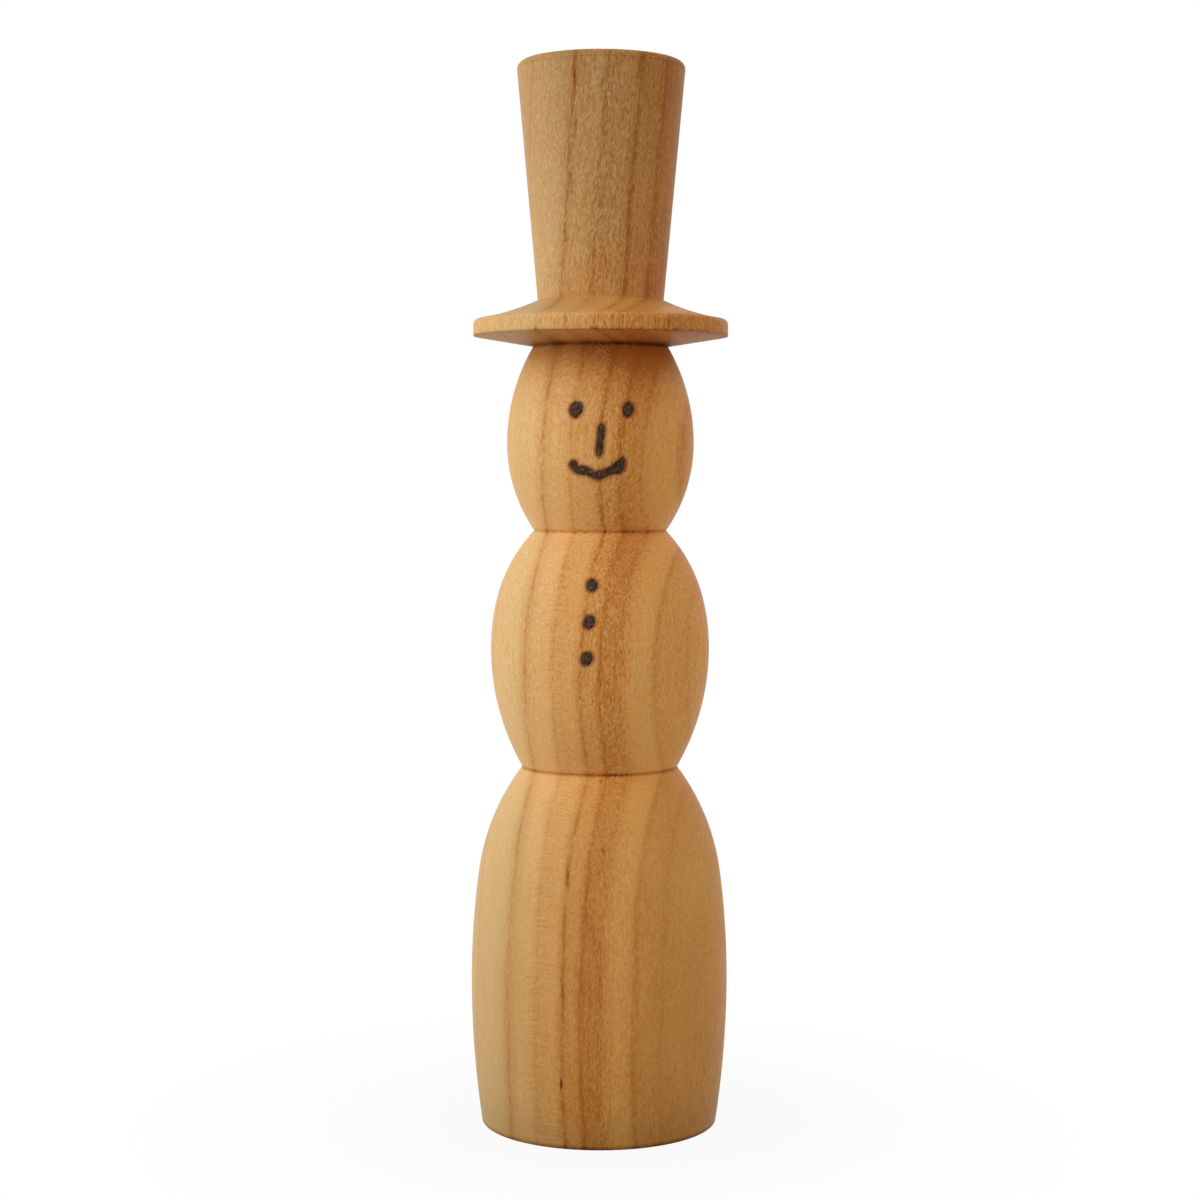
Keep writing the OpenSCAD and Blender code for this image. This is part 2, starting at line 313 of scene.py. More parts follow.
# The figure's own surface: the profile carried round the axis, front towards -Y, sunk where it is burnt
turned_r = np.repeat(profile[:, :1], len(angles), axis=1)
turned_z = np.repeat(profile[:, 1:], len(angles), axis=1)
turned_angle = np.repeat(angles[None], len(profile), axis=0)
front_x = turned_r * np.sin(turned_angle)
on_front = np.cos(turned_angle) > math.cos(FRONT_HALF) - HAIR
on_front &= (turned_z > WAIST_Z) & (turned_z < SEAT_Z)
edge_distance = np.full(turned_r.shape, FAR_FROM_MARKS)
nearest = [stroke_distance(stroke, front_x[on_front], turned_z[on_front]) for stroke in strokes.values()]
edge_distance[on_front] = np.min(nearest, axis=0)
burnt_r = turned_r - BURN_DEPTH * ease((BURN_LIP - edge_distance) / BURN_WALL)
rings = np.stack([burnt_r * np.sin(turned_angle), -burnt_r * np.cos(turned_angle), turned_z], axis=-1)
figure = skin("turned_figure_wood", rings, np.array([0.0, 0.0, 0.0]), np.array([0.0, 0.0, TOP_Z]))

# The creases stay sharp: an edge is part of one if both its ends lie on a row where a run ends in a crease
edge_ends = np.empty(2 * len(figure.data.edges), np.int32)
figure.data.edges.foreach_get("vertices", edge_ends)
edge_rows = (edge_ends.reshape(-1, 2) - 1) // len(angles)
is_crease = (edge_rows[:, 0] == edge_rows[:, 1]) & np.isin(edge_rows[:, 0], crease_rows)
sharp = figure.data.attributes.new("sharp_edge", "BOOLEAN", "EDGE")
sharp.data.foreach_set("value", is_crease)

# The scorch fades with the distance from a mark's edge
scorch_ring = np.exp(-((np.maximum(edge_distance, 0) / SCORCH_REACH) ** 2))
scorch = figure.data.attributes.new("scorch", "FLOAT", "POINT")
scorch.data.foreach_set("value", np.concatenate([[0], scorch_ring.ravel(), [0]]).astype(np.float32))


def bare_material(name):
    """New material with no nodes, and its node tree."""
    material = bpy.data.materials.new(name)
    material.use_nodes = True
    material.node_tree.nodes.clear()
    return material, material.node_tree


def wire(tree, kind, inputs, output=0, **settings):
    """One shader node: its settings by name, and each input, by name or number, from a socket or a value.
    Gives the output that is asked for, or the node where it has none."""
    node = tree.nodes.new(kind)
    for name, value in settings.items():
        setattr(node, name, value)
    for key, value in inputs.items():
        if isinstance(value, bpy.types.NodeSocket):
            tree.links.new(value, node.inputs[key])
        else:
            node.inputs[key].default_value = value
    return node.outputs[output] if node.outputs else node


def math_node(tree, operation, first, second=0.0, third=0.0):
    """Number that the operation makes of one, two or three numbers."""
    return wire(tree, "ShaderNodeMath", {0: first, 1: second, 2: third}, operation=operation)


def total(tree, first, *others):
    """Sum of the numbers."""
    for number in others:
        first = math_node(tree, "ADD", first, number)
    return first


def product(tree, first, *others):
    """Product of the numbers."""
    for number in others:
        first = math_node(tree, "MULTIPLY", first, number)
    return first


def vector_node(tree, operation, first, second=(0.0, 0.0, 0.0), output="Vector"):
    """Vector, or with the output Value a number, that the operation makes of one or two vectors."""
    return wire(tree, "ShaderNodeVectorMath", {0: first, 1: second}, output=output, operation=operation)


def millimetres(tree):
    """Place on the piece, in millimetres."""
    place = wire(tree, "ShaderNodeTexCoord", {}, output="Object")
    return vector_node(tree, "MULTIPLY", place, (1 / MM,) * 3)


def stretched_noise(tree, coordinates, per_mm, detail=2.0, roughness=0.5):
    """Noise with its own number of waves per millimetre along each of the coordinates."""
    scaled = vector_node(tree, "MULTIPLY", coordinates, per_mm)
    inputs = {"Vector": scaled, "Scale": 1.0, "Detail": detail, "Roughness": roughness}
    return wire(tree, "ShaderNodeTexNoise", inputs)


def rescale(tree, value, low, high, to_low=0.0, to_high=1.0):
    """Value from low to high spread over to_low to to_high, and held at the ends."""
    return wire(tree, "ShaderNodeMapRange", {0: value, 1: low, 2: high, 3: to_low, 4: to_high})


DOT_CORE = 0.3


def dots(tree, coordinates, per_mm, kept, dot_r):
    """Separate drawn-out dots, 1 in a dot's core and 0 outside: a random pattern with its own number of
    cells per millimetre along each of the coordinates, and a dot in the kept share of the cells."""
    scaled = vector_node(tree, "MULTIPLY", coordinates, per_mm)
    distance = wire(tree, "ShaderNodeTexVoronoi", {"Vector": scaled, "Scale": 1.0}, output="Distance")
    chance = wire(tree, "ShaderNodeSeparateColor", {0: distance.node.outputs["Color"]})
    shown = math_node(tree, "LESS_THAN", chance, kept)
    return product(tree, shown, rescale(tree, distance, DOT_CORE * dot_r, dot_r, 1.0, 0.0))


def ramp(tree, value, low, high, stops):
    """Grey or colour that changes evenly between stops of (value, grey or colour), from low to high."""
    share = rescale(tree, value, low, high)
    shade = wire(tree, "ShaderNodeValToRGB", {0: share})
    elements = shade.node.color_ramp.elements
    while len(elements) < len(stops):
        elements.new(0.5)
    for element, (stop, colour) in zip(elements, stops):
        element.position = (stop - low) / (high - low)
        element.color = (*colour, 1.0) if isinstance(colour, tuple) else (colour, colour, colour, 1.0)
    return shade


def mixed(tree, share, first, second, blend="MIX"):
    """Colour between first and second by share, or the two blended. Inputs 6 and 7 and output 2 are the
    node's sockets for colours."""
    inputs = {0: share, 6: first, 7: second}
    return wire(tree, "ShaderNodeMix", inputs, output=2, data_type="RGBA", blend_type=blend)


def coat(tree, colour, roughness, specular, relief, strength, depth):
    """Finish of a piece: its colour, roughness and shine, and a fine relief of that depth in millimetres."""
    bump = {"Strength": strength, "Distance": depth * MM, "Height": relief}
    finish = {"Base Color": colour, "Roughness": roughness, "Specular IOR Level": specular}
    finish["Normal"] = wire(tree, "ShaderNodeBump", bump)
    shader = wire(tree, "ShaderNodeBsdfPrincipled", finish)
    wire(tree, "ShaderNodeOutputMaterial", {"Surface": shader})


# The growth rings are wide circles about a pith to the left of the blank, and lean over to the right as they
# rise. A place in the wood is across the rings, in millimetres out from the ring of radius -PITH_X and
# followed down the lean to the foot, round the rings, and along the grain.
PITH_X = -106.5
PITH_Y = 20.7
RING_BEND = 0.000265
wood, wood_tree = bare_material("oiled_fruitwood")
in_mm = millimetres(wood_tree)
from_pith = vector_node(wood_tree, "SUBTRACT", in_mm, (PITH_X, PITH_Y, 0.0))
out_x, out_y, along = wire(wood_tree, "ShaderNodeSeparateXYZ", {0: from_pith}).node.outputs
pith_r_squared = total(wood_tree, product(wood_tree, out_x, out_x), product(wood_tree, out_y, out_y))
pith_r = math_node(wood_tree, "SQRT", pith_r_squared)
across = total(wood_tree, pith_r, PITH_X, product(wood_tree, along, along, -RING_BEND))
around = product(wood_tree, math_node(wood_tree, "ARCTAN2", out_y, out_x), -PITH_X)
grain = wire(wood_tree, "ShaderNodeCombineXYZ", {0: across, 1: around, 2: along})
flat = vector_node(wood_tree, "MULTIPLY", in_mm, (1.0, 1.0, 0.0))
outward = vector_node(wood_tree, "NORMALIZE", flat)
to_right = wire(wood_tree, "ShaderNodeSeparateXYZ", {0: outward})

# A noise is spread out from a wide or a narrow stretch of its values, and held at the ends outside it.
# Waves and cells are counted per millimetre across the rings, round them and along the grain.
WIDE_NOISE = (0.25, 0.75)
NARROW_NOISE = (0.3, 0.7)

# How dark the rings are, which waver and fade in and out: (place across, tone)
RING_REACH = 26.0
RING_TONES = [
    (-22, 0.14), (-18.8, 0.12), (-18.2, 0.34), (-17.6, 0.12), (-12.4, 0.1), (-10.8, 0.15), (-9.4, 0.42),
    (-8.5, 0.4), (-6.6, 0.12), (-4.6, 0.08), (-3, 0.32), (-1.4, 0.24), (0.6, 0.1), (1.6, 0.34), (2.3, 0.56),
    (2.9, 0.4), (4.3, 0.32), (5, 0.44), (5.7, 0.74), (6.6, 0.6), (8.8, 0.52), (9.8, 0.32), (10.8, 0.1),
    (12.4, 0.02), (13.4, 0.06), (14.2, 0.44), (14.9, 0.33), (17.4, 0.32), (18.2, 0.46), (18.9, 0.34),
    (22, 0.34), (26, 0.36),
]
WAVER_WAVES = (0.12, 0.12, 0.04)
WAVER_REACH = 0.35
FADE_WAVES = (0.2, 0.05, 0.06)
FADE_SHARES = (0.8, 1.2)
waver = stretched_noise(wood_tree, grain, WAVER_WAVES, detail=3.0)
wavering = total(wood_tree, across, rescale(wood_tree, waver, *WIDE_NOISE, -WAVER_REACH, WAVER_REACH))
fade = stretched_noise(wood_tree, grain, FADE_WAVES)
fade_share = rescale(wood_tree, fade, *NARROW_NOISE, *FADE_SHARES)
ring_tone = product(wood_tree, ramp(wood_tree, wavering, -RING_REACH, RING_REACH, RING_TONES), fade_share)

# Thin broken lines in the dark rings, which are stronger towards the hat: (place across, tone)
RING_LINES = [(-9.0, 0.3), (-3.2, 0.17), (2.3, 0.34), (5.7, 0.18), (9.0, 0.14), (14.2, 0.1)]
RING_LINE_HALF = 0.55
BREAK_WAVES = (0.8, 0.5, 0.3)
BREAK_NOISE = (0.38, 0.62)
BREAK_MOST = 1.3
LINES_ON_HAT = 2.6
line_stops = []
for ring, peak in RING_LINES:
    line_stops += [(ring - RING_LINE_HALF, 0.0), (ring, peak), (ring + RING_LINE_HALF, 0.0)]
line_tone = ramp(wood_tree, wavering, -RING_REACH, RING_REACH, line_stops)
line_break = stretched_noise(wood_tree, grain, BREAK_WAVES, detail=3.0, roughness=0.65)
line_share = rescale(wood_tree, line_break, *BREAK_NOISE, 0.0, BREAK_MOST)
line_rise = rescale(wood_tree, along, WAIST_Z, CROWN_Z, 1.0, LINES_ON_HAT)
ring_tone = total(wood_tree, ring_tone, product(wood_tree, line_tone, line_share, line_rise))

# How strongly the rings and their lines show: (height, share)
RING_STRENGTH = [
    (WAIST_Z, 0.9), (NECK_Z, 0.88), (NECK_Z + 4, 0.78), (SEAT_Z, 0.78), (RIM_Z, 0.8), (RIM_Z + 0.3, 0.2),
    (RIM_TOP_Z, 0.2), (RIM_TOP_Z + 0.4, 0.65), (CROWN_Z, 0.65), (CROWN_Z + 1, 0.66), (TOP_Z, 0.68),
]
ring_tone = product(wood_tree, ring_tone, ramp(wood_tree, along, 0.0, TOP_Z, RING_STRENGTH))

# Fine fibres and short dashes run along the grain, with open pores in the dark rings and pale flecks where
# the chisel lifted the fibres
FIBRE_WAVES = (2.2, 2.2, 0.05)
FIBRE_TONE = 0.12
DASH_WAVES = (4.0, 4.0, 0.95)
DASH_TONE = 0.22
PORE_CELLS = (3.5, 3.5, 1.0)
PORE_LEAST = 0.1
PORE_MOST = 0.6
PORE_R = 0.44
PORE_TONE = 0.38
FLECK_CELLS = (3.7, 3.7, 0.9)
FLECK_LEAN = 0.12
FLECK_SHARE = 0.5
FLECK_R = 0.44
FLECK_TONE = -0.34
fibre = stretched_noise(wood_tree, grain, FIBRE_WAVES, detail=3.0, roughness=0.6)
fibre_tone = rescale(wood_tree, fibre, *WIDE_NOISE, -FIBRE_TONE, FIBRE_TONE)
dash = stretched_noise(wood_tree, grain, DASH_WAVES, roughness=0.6)
dash_tone = rescale(wood_tree, dash, *WIDE_NOISE, -DASH_TONE, DASH_TONE)
pore_share = rescale(wood_tree, ring_tone, PORE_LEAST, PORE_MOST, PORE_LEAST, PORE_MOST)
pore_tone = product(wood_tree, dots(wood_tree, grain, PORE_CELLS, pore_share, PORE_R), PORE_TONE)
fleck_across = math_node(wood_tree, "MULTIPLY_ADD", along, -FLECK_LEAN, across)
fleck_grain = wire(wood_tree, "ShaderNodeCombineXYZ", {0: fleck_across, 1: around, 2: along})
fleck_tone = product(wood_tree, dots(wood_tree, fleck_grain, FLECK_CELLS, FLECK_SHARE, FLECK_R), FLECK_TONE)
fibres = total(wood_tree, fibre_tone, dash_tone, pore_tone, fleck_tone)

# They are finest on the base and roughest on the hat, and rougher in front than at the sides:
# (height, strength) and (share of the radius to the right, strength)
ROUGH_HEIGHTS = [
    (0, 1.0), (60, 1.0), (WAIST_Z, 1.1), (85, 1.6), (NECK_Z, 1.5), (120, 1.65), (SEAT_Z, 1.7), (RIM_Z, 1.3),
    (RIM_Z + 0.2, 2.2), (RIM_TOP_Z, 2.0), (RIM_TOP_Z + 0.4, 0.9), (CROWN_Z, 0.9), (CROWN_Z + 1, 2.1),
    (TOP_Z, 1.9),
]
ROUGH_SIDES = [
    (-1, 0.6), (-0.6, 0.8), (-0.35, 1.05), (-0.1, 1.25), (0.05, 1.6), (0.2, 1.6), (0.36, 1.1), (0.5, 0.95),
    (1, 0.9),
]
rough_side = ramp(wood_tree, to_right, -1.0, 1.0, ROUGH_SIDES)
rough_height = ramp(wood_tree, along, 0.0, TOP_Z, ROUGH_HEIGHTS)
fibres = product(wood_tree, fibres, rough_side, rough_height)

# Where the surface lies along the rays, to the left of the front, they show as patches of close ripples.
# These dip away on either side, partly hide the fibres, have small dark dots among them and are weaker on
# the hat.
# RIPPLE_FULL and RIPPLE_GONE are squares of the sine of the angle from the middle of the ripples.
RIPPLE_TURN = math.radians(-24)
RIPPLE_FULL = 0.015
RIPPLE_GONE = 0.1
RIPPLE_DROP = 24.0
RIPPLE_WAVES = (0.2, 3.2, 0.05)
RIPPLE_TONE = 0.17
RIPPLE_HIDES = 0.4
RIPPLE_FADE_H = 10.0
RIPPLES_ON_HAT = 0.3
PATCH_WAVES = (0.3, 0.25, 0.05)
PATCH_NOISE = (0.32, 0.54)
RAY_DOT_CELLS = (1.7, 1.7, 1.5)
RAY_DOT_SHARE = 0.18
RAY_DOT_R = 0.38
RAY_DOT_TONE = 0.55
beside_rays = (math.cos(RIPPLE_TURN), math.sin(RIPPLE_TURN), 0.0)
off_rays = vector_node(wood_tree, "DOT_PRODUCT", outward, beside_rays, output="Value")
off_rays_squared = product(wood_tree, off_rays, off_rays)
ripple_way = math_node(wood_tree, "MULTIPLY_ADD", off_rays_squared, RIPPLE_DROP, along)
ripple_grain = wire(wood_tree, "ShaderNodeCombineXYZ", {0: across, 1: ripple_way, 2: around})
ripple = stretched_noise(wood_tree, ripple_grain, RIPPLE_WAVES, detail=1.0)
patch = stretched_noise(wood_tree, ripple_grain, PATCH_WAVES, detail=1.0)
ripple_near = rescale(wood_tree, off_rays_squared, RIPPLE_FULL, RIPPLE_GONE, 1.0, 0.0)
ripple_low = rescale(wood_tree, along, SEAT_Z - RIPPLE_FADE_H, SEAT_Z, 1.0, RIPPLES_ON_HAT)
ripple_share = product(wood_tree, ripple_near, rescale(wood_tree, patch, *PATCH_NOISE), ripple_low)
ripple_wave = rescale(wood_tree, ripple, *NARROW_NOISE, -RIPPLE_TONE, RIPPLE_TONE)
ripple_tone = product(wood_tree, ripple_wave, ripple_share)
fibres_left = rescale(wood_tree, ripple_share, 0.0, 1.0, 1.0, 1.0 - RIPPLE_HIDES)
ray_dots = dots(wood_tree, grain, RAY_DOT_CELLS, RAY_DOT_SHARE, RAY_DOT_R)
ray_dot_tone = product(wood_tree, ray_dots, RAY_DOT_TONE, ripple_share)
texture = total(wood_tree, product(wood_tree, fibres, fibres_left), ripple_tone, ray_dot_tone)

# Painted shade: darker towards the foot and the crown, where less light reaches, and under the hat for the
# brim's shadow and its shaded underside: (height, tone). A ramp holds nothing below 0, so all these tones
# are too high by LENGTH_LEAST, which is taken off.
LENGTH_LEAST = 0.2
PAINTED_SHADE_BY_HEIGHT = [
    (0, 0.4), (20, 0.3), (66, 0.12), (80, 0.08), (98, 0.17), (110, 0.14), (116, 0.08), (134, 0.13),
    (139.5, 0.3), (SEAT_Z - 2, 0.9), (SEAT_Z, 0.96), (RIM_Z, 0.4), (RIM_Z + 0.5, 0.28), (RIM_TOP_Z, 0.28),
    (CROWN_Z, 0.32), (165, 0.28), (crown_edge_z, 0.42), (crown_edge_z + 0.2, 0.58), (TOP_Z, 0.58),
]
painted_height_shade = total(wood_tree, ramp(wood_tree, along, 0.0, TOP_Z, PAINTED_SHADE_BY_HEIGHT), -LENGTH_LEAST)

# Painted shade on the right side, away from the pith, where less light falls: on the shoulders under the
# grooves, the head, the brim and the crown: (height, tone)
SHADE_ON_RIGHT_BY_HEIGHT = [
    (50, 0.0), (WAIST_Z - 2, 0.22), (WAIST_Z, 0.22), (WAIST_Z + 0.2, 0.0), (97, 0.0), (NECK_Z - 2, 0.22),
    (NECK_Z, 0.22), (NECK_Z + 0.2, 0.0), (NECK_Z + 8, 0.14), (SEAT_Z, 0.2), (SEAT_Z + 0.5, 0.3),
    (RIM_Z, 0.3), (RIM_Z + 0.2, 0.55), (RIM_TOP_Z, 0.55), (RIM_TOP_Z + 1, 0.0), (CROWN_Z, 0.1),
    (CROWN_Z + 1, 0.22), (TOP_Z, 0.3),
]
RIGHT_SHADE_FROM = 0.0
RIGHT_SHADE_TO = 14.0
right_side_share = rescale(wood_tree, across, RIGHT_SHADE_FROM, RIGHT_SHADE_TO)
painted_right_shade = product(wood_tree, ramp(wood_tree, along, 0.0, TOP_Z, SHADE_ON_RIGHT_BY_HEIGHT), right_side_share)

# All these tones together, with a slow cloudiness, and held at full tone
CLOUD_WAVES = (0.06, 0.06, 0.02)
CLOUD_TONE = 0.06
FULL_TONE = 1.0
cloud = stretched_noise(wood_tree, grain, CLOUD_WAVES)
cloud_tone = rescale(wood_tree, cloud, *NARROW_NOISE, -CLOUD_TONE, CLOUD_TONE)
tone = total(wood_tree, ring_tone, texture, cloud_tone, painted_height_shade, painted_right_shade)
tone = math_node(wood_tree, "MINIMUM", tone, FULL_TONE)

# Painted shade in the corners and creases: dark lines at the foot's edge, in the grooves, under the brim, at
# its lower edge and at the crown's edge: (height, half width, tone), full in the core of the width
CREASE_SHADE_LINES = [
    (0.0, 1.0, 0.9), (WAIST_Z, 0.5, 0.75), (NECK_Z, 0.5, 0.5), (SEAT_Z, 0.6, 0.5), (RIM_Z, 0.35, 0.35),
    (crown_edge_z, 0.16, 0.3),
]
CORNER_CORE = 0.15
for corner_z, half_width, crease_shade_tone in CREASE_SHADE_LINES:
    off_corner = math_node(wood_tree, "ABSOLUTE", total(wood_tree, along, -corner_z))
    crease_shade = rescale(wood_tree, off_corner, CORNER_CORE * half_width, half_width, crease_shade_tone, 0.0)
    tone = total(wood_tree, tone, crease_shade)

# Short splits and dark pith flecks in the front, from the foot up: (x, y, height, half width, half length,
# tone), full in the core and gone at the half width and half length
SPLITS = [
    (-6.9, -22.7, 12.4, 0.3, 1.7, 1.0), (-6.7, -23.3, 30.0, 0.5, 6.0, 0.3),
    (-6.5, -22.7, 41.5, 0.5, 5.5, 0.3), (-5.8, -21.7, 50.5, 0.5, 3.2, 0.45),
    (0.7, -21.3, 55.0, 0.4, 1.2, 0.55), (0.2, -15.2, 66.8, 0.55, 0.8, 0.55),
    (2.1, -14.3, 110.2, 0.4, 1.0, 0.4), (3.0, -13.5, 114.7, 0.35, 1.3, 0.5),
    (3.7, -17.2, 127.5, 0.3, 2.2, 0.4), (3.4, -17.3, 132.2, 0.35, 3.2, 0.3),
    (-6.3, -23.1, 150.6, 0.3, 1.8, 0.9), (12.2, -20.6, 150.6, 0.3, 1.8, 0.6),
    (-6.4, -11.0, 165.9, 0.55, 4.0, 0.3), (-5.4, -12.5, 175.6, 0.55, 3.6, 0.3),
    (3.8, -13.2, 176.6, 0.25, 0.9, 0.5), (6.1, -12.8, 181.5, 0.25, 0.9, 0.5),
    (-4.8, -13.8, 185.9, 0.5, 2.6, 0.42), (-4.7, -14.6, 194.0, 0.6, 3.5, 0.42),
]
SPLIT_DEPTH = 2.5
SPLIT_CORE = 0.2
for split_x, split_y, split_z, half_width, half_length, split_tone in SPLITS:
    off_split = vector_node(wood_tree, "SUBTRACT", in_mm, (split_x, split_y, split_z))
    per_reach = (1 / half_width, 1 / SPLIT_DEPTH, 1 / half_length)
    off_split = vector_node(wood_tree, "MULTIPLY", off_split, per_reach)
    off_share = vector_node(wood_tree, "LENGTH", off_split, output="Value")
    tone = total(wood_tree, tone, rescale(wood_tree, off_share, SPLIT_CORE, 1.0, split_tone, 0.0))

# The wood's colour by its tone, from the palest fibre to the darkest split: yellow in the rings nearer the
# pith, and more orange further out
PALEST = -0.4
DARKEST = 1.5
YELLOW_WOOD = [
    (PALEST, (0.94, 0.64, 0.33)), (0.0, (0.78, 0.475, 0.187)), (1.0, (0.48, 0.188, 0.038)),
    (DARKEST, (0.17, 0.045, 0.012)),
]
ORANGE_WOOD = [
    (PALEST, (1.0, 0.57, 0.2)), (0.0, (1.0, 0.455, 0.112)), (1.0, (0.58, 0.172, 0.022)),
    (DARKEST, (0.18, 0.04, 0.009)),
]
ORANGE_FROM = -12.0
ORANGE_TO = 7.0
yellow = ramp(wood_tree, tone, PALEST, DARKEST, YELLOW_WOOD)
orange = ramp(wood_tree, tone, PALEST, DARKEST, ORANGE_WOOD)
wood_colour = mixed(wood_tree, rescale(wood_tree, across, ORANGE_FROM, ORANGE_TO), yellow, orange)

# The colour shifts along the length, with painted shade that darkens the foot, the brim's top and the crown
# where less light reaches, and dark fibres are warmer than the wood round them and pale ones whiter:
# (height or texture, share of red, green and blue)
COLOUR_AND_PAINTED_SHADE_BY_HEIGHT = [
    (0, (0.67, 0.74, 0.76)), (8, (0.81, 0.86, 0.89)), (20, (0.87, 0.91, 0.95)), (60, (0.89, 0.94, 0.97)),
    (WAIST_Z, (0.97, 0.98, 0.98)), (NECK_Z, (0.99, 0.98, 0.97)), (NECK_Z + 4, (0.975, 0.935, 0.85)),
    (RIM_TOP_Z, (0.95, 0.925, 0.885)), (RIM_TOP_Z + 0.5, (0.8, 0.83, 0.87)), (CROWN_Z, (0.81, 0.805, 0.785)),
    (TOP_Z, (0.755, 0.745, 0.73)),
]
FIBRE_SHADES = [(-1, (0.93, 0.98, 1.27)), (0, (1.0, 1.0, 1.0)), (1, (1.12, 1.05, 0.55))]
length_colour_and_painted_shade = ramp(wood_tree, along, 0.0, TOP_Z, COLOUR_AND_PAINTED_SHADE_BY_HEIGHT)
fibre_shade = ramp(wood_tree, texture, -1.0, 1.0, FIBRE_SHADES)
for shade in (length_colour_and_painted_shade, fibre_shade):
    wood_colour = mixed(wood_tree, 1.0, wood_colour, shade, blend="MULTIPLY")

# Round the marks the wood is scorched, more on some fibres than on others
SCORCH_COLOUR = (0.2, 0.045, 0.014, 1.0)
SCORCH_WAVES = (3.0, 3.0, 0.8)
SCORCH_LEAST = 0.5
scorch_near = wire(wood_tree, "ShaderNodeAttribute", {}, output="Fac", attribute_name="scorch")
scorch_noise = stretched_noise(wood_tree, grain, SCORCH_WAVES)
scorch_fibres = rescale(wood_tree, scorch_noise, *NARROW_NOISE, SCORCH_LEAST, 1.0)
scorched = mixed(wood_tree, product(wood_tree, scorch_near, scorch_fibres), wood_colour, SCORCH_COLOUR)

# The oil leaves a dull shine, and dark fibres lie a little deeper than pale ones
OILED_ROUGHNESS = (0.42, 0.55)
oiled = rescale(wood_tree, fibre, *NARROW_NOISE, *OILED_ROUGHNESS)
raised = product(wood_tree, texture, -1.0)
coat(wood_tree, scorched, roughness=oiled, specular=0.12, relief=raised, strength=0.25, depth=0.12)
figure.data.materials.append(wood)
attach(figure, "root")
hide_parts("turned_figure")


# The char in the marks
# What the pen leaves in each recess: brittle black-brown char with a crumbled top and edges that follow the
# broken fibres. It grips the wood under it and stands just below the turned surface.
# Depths of its top and foot below the turned surface, and its half width as a share of the stroke's
CHAR_TOP = 0.07
CHAR_FOOT = 0.6
CHAR_SPREAD = 1.15
# The rim where the top dives under the wood: its width, how deep it dives, and how far on the dive is at
# the stroke's edge
CHAR_RIM = 0.3
CHAR_DIVE = 0.3
CHAR_DIVE_SHARE = 0.8
# The crumbled top's height and the rim's raggedness, the width and length of their cells, and a shift that
# keeps the two patterns apart
CRUMBLE = 0.1
CRUMBLE_WIDE = 0.22
CRUMBLE_LONG = 0.4
RAGGED = 0.3
RAGGED_WIDE = 0.16
RAGGED_LONG = 1.2
RAGGED_SHIFT = 31.7
CHAR_ROWS = 16
CHAR_ROWS_PER_MM = 9
CHAR_END_ROWS = 8
CHAR_COLUMNS = 48
CHAR_COLOURS = [(0.34, (0.03, 0.012, 0.006)), (0.52, (0.075, 0.036, 0.018)), (0.68, (0.16, 0.082, 0.044))]
LUMP_WAVES = (1.8, 1.8, 1.4)
ASH_COLOUR = (0.24, 0.18, 0.13, 1.0)
ASH_WAVES = (2.8, 2.8, 2.4)
ASH_NOISE = (0.6, 0.72)
ASH_MOST = 0.7
LATTICE_CELLS = 64
LATTICE_SEED = 11
lattice = np.random.default_rng(LATTICE_SEED).random((LATTICE_CELLS, LATTICE_CELLS))


def fibre_noise(across_cells, along_cells):
    """Smooth noise from 0 to 1: random values on a unit lattice, eased from corner to corner."""
    column = np.floor(across_cells).astype(int)
    row = np.floor(along_cells).astype(int)
    ease_across = ease(across_cells - column)
    ease_along = ease(along_cells - row)

    def corner(column_step, row_step):
        """Random value at the corner of the cell that is so many columns and rows on."""
        return lattice[(column + column_step) % LATTICE_CELLS, (row + row_step) % LATTICE_CELLS]

    low = corner(0, 0) * (1 - ease_across) + corner(1, 0) * ease_across
    high = corner(0, 1) * (1 - ease_across) + corner(1, 1) * ease_across
    return low * (1 - ease_along) + high * ease_along


def char_piece(name, stroke):
    """Tube along a stroke, flattened to a layer: across the stroke it runs a little past the edge, where its
    top dives under the wood, and its ends are half circles. Depths are taken in towards the axis."""
    length = np.hypot(*np.ptp(stroke[:, :2], axis=0))
    line = smooth_curve(stroke, CHAR_ROWS + int(CHAR_ROWS_PER_MM * length))
    way = np.gradient(line[:, :2], axis=0)
    way = way / np.hypot(way[:, :1], way[:, 1:])
    turn = np.linspace(0, math.pi / 2, CHAR_END_ROWS + 2)[1:-1, None]
    start = np.hstack([line[0, :2] - way[0] * line[0, 2] * np.cos(turn), line[0, 2] * np.sin(turn)])
    end = np.hstack([line[-1, :2] + way[-1] * line[-1, 2] * np.sin(turn), line[-1, 2] * np.cos(turn)])
    middle_x, middle_z, half_width = np.hsplit(np.vstack([start, line, end]), 3)
    way_x, way_z = np.hsplit(np.pad(way, ((CHAR_END_ROWS, CHAR_END_ROWS), (0, 0)), mode="edge"), 2)
    round_angle = np.linspace(0, 2 * math.pi, CHAR_COLUMNS, endpoint=False)
    out = np.cos(round_angle) * CHAR_SPREAD
    x = middle_x + way_z * half_width * out
    z = middle_z - way_x * half_width * out
    rim_start = half_width - np.minimum(half_width, CHAR_RIM)
    rim_share = (np.abs(out) * half_width - rim_start) / CHAR_RIM
    crumble = fibre_noise(x / CRUMBLE_WIDE, z / CRUMBLE_LONG) - 0.5
    ragged = fibre_noise(x / RAGGED_WIDE + RAGGED_SHIFT, z / RAGGED_LONG) - 0.5
    z = z + RAGGED * ragged * ease(rim_share)
    top = CHAR_TOP + CRUMBLE * crumble + CHAR_DIVE * ease(rim_share * CHAR_DIVE_SHARE)
    depth = np.where(np.sin(round_angle) > HAIR, top, CHAR_FOOT)
    angle = np.arcsin(x / turned_radius(z))
    r = turned_radius(z) - depth
    points = np.stack([r * np.sin(angle), -r * np.cos(angle), z], axis=-1)
    return skin(name, points, points[0].mean(axis=0), points[-1].mean(axis=0))


